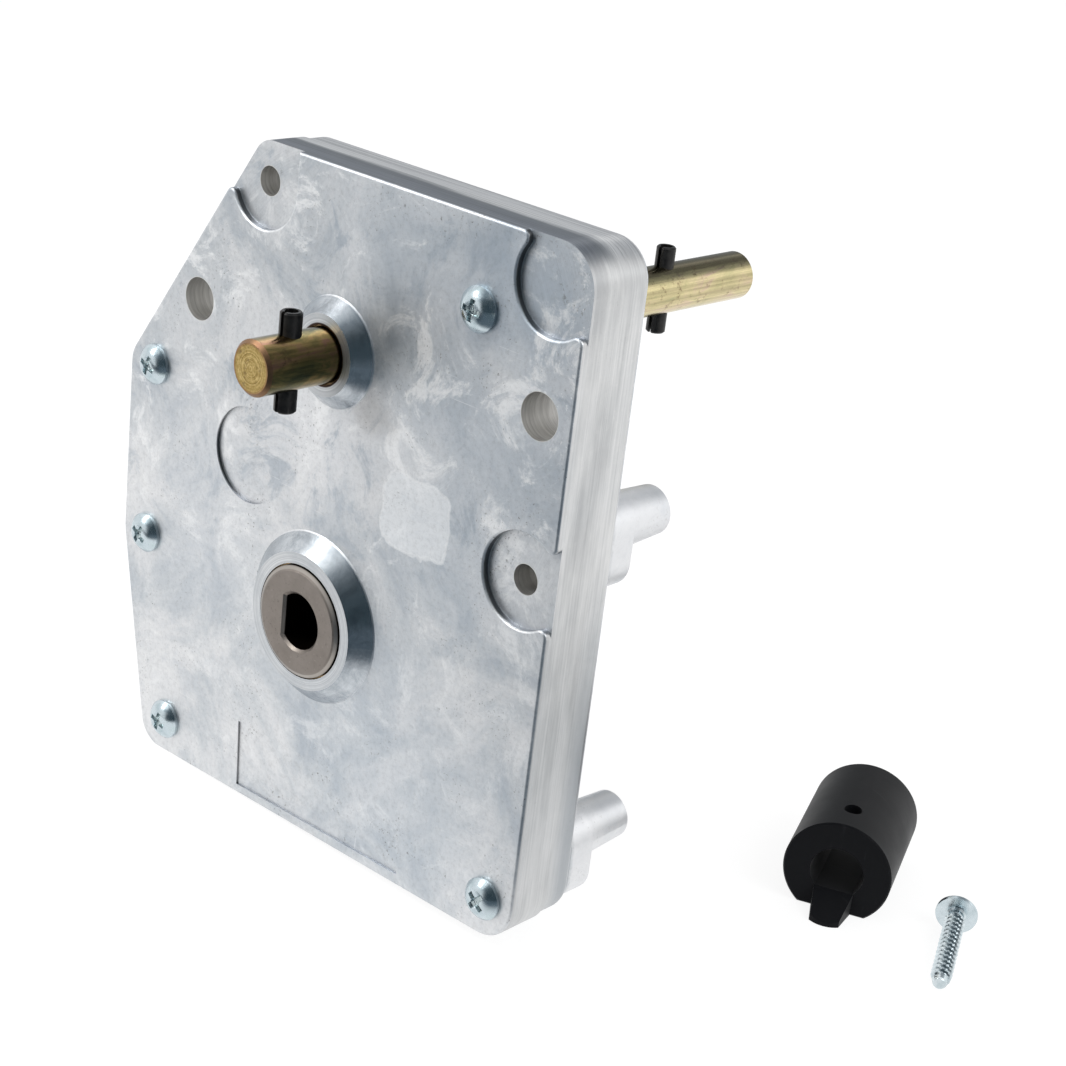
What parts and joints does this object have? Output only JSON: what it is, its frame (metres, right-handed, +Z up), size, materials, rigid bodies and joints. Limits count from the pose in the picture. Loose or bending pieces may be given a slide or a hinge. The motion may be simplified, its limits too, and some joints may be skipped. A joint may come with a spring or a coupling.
{
  "type": "trailer landing gear gearbox",
  "caption": "Flat cast gearbox for a trailer landing leg: cross-pinned through shaft, D-bore motor hub, compound spur train, rear locating posts and a loose adapter sleeve with its screw.",
  "frame": {"origin": "on the through shaft's axis, in the cover's front plane", "axes": "+X right across the cover, +Y from the cover to the back along the shaft, +Z up"},
  "size_m": [0.265, 0.2102, 0.2047],
  "materials": {
    "cast_aluminium": "mottled as-cast",
    "gasket_sheet": "thin grey sheet",
    "bright_zinc": "bright zinc plate",
    "hard_steel": "ground",
    "gold_zinc": "yellow zinc plate with an iridescent tint",
    "black_oxide": "black oxide",
    "gear_steel": "machined",
    "bronze": "sintered bronze",
    "sintered_steel": "sintered, warm grey",
    "black_plastic": "moulded, matte"
  },
  "bodies": {
    "housing": {"front_shell": "cast_aluminium", "rear_shell": "cast_aluminium", "shell_gasket": "gasket_sheet", "cover_screws": "bright_zinc", "locating_dowels": "hard_steel", "front_thrust_washer": "hard_steel", "rear_thrust_washer": "hard_steel", "front_shaft_bush": "bronze", "rear_shaft_bush": "bronze", "input_front_bush": "bronze", "input_rear_bush": "bronze", "input_front_washer": "hard_steel", "input_rear_washer": "hard_steel", "idler_axle": "hard_steel", "idler_front_washer": "hard_steel", "idler_rear_washer": "hard_steel"},
    "output_line": {"output_shaft": "gold_zinc", "front_roll_pin": "black_oxide", "rear_roll_pin": "black_oxide", "output_gear": "gear_steel", "output_gear_key": "hard_steel", "front_retaining_ring": "black_oxide", "rear_retaining_ring": "black_oxide"},
    "input_line": {"input_hub": "sintered_steel"},
    "idler_line": {"idler_gear": "gear_steel", "idler_pinion": "gear_steel", "idler_bush": "bronze"},
    "loose_sleeve": {"adapter_sleeve": "black_plastic"},
    "loose_screw": {"adapter_screw": "bright_zinc"}
  },
  "joints": [
    {"name": "output_spin", "type": "hinge", "parent": "housing", "child": "output_line", "pos_m": [0, 0, 0], "axis": [0, 1, 0], "continuous": true},
    {"name": "idler_spin", "type": "hinge", "parent": "housing", "child": "idler_line", "pos_m": [-0.03309, 0, -0.0414], "axis": [0, 1, 0], "continuous": true},
    {"name": "input_spin", "type": "hinge", "parent": "housing", "child": "input_line", "pos_m": [0, 0, -0.0806], "axis": [0, 1, 0], "continuous": true},
    {"name": "sleeve_lift", "type": "slide", "parent": "housing", "child": "loose_sleeve", "axis": [0, 0, 1], "range_m": [0, 0.03]},
    {"name": "screw_lift", "type": "slide", "parent": "housing", "child": "loose_screw", "axis": [0, 0, 1], "range_m": [0, 0.03]}
  ],
  "couplings": [
    {"joint": "idler_spin", "follows": "output_spin", "ratio": -3.0769},
    {"joint": "input_spin", "follows": "output_spin", "ratio": 6.1538}
  ]
}
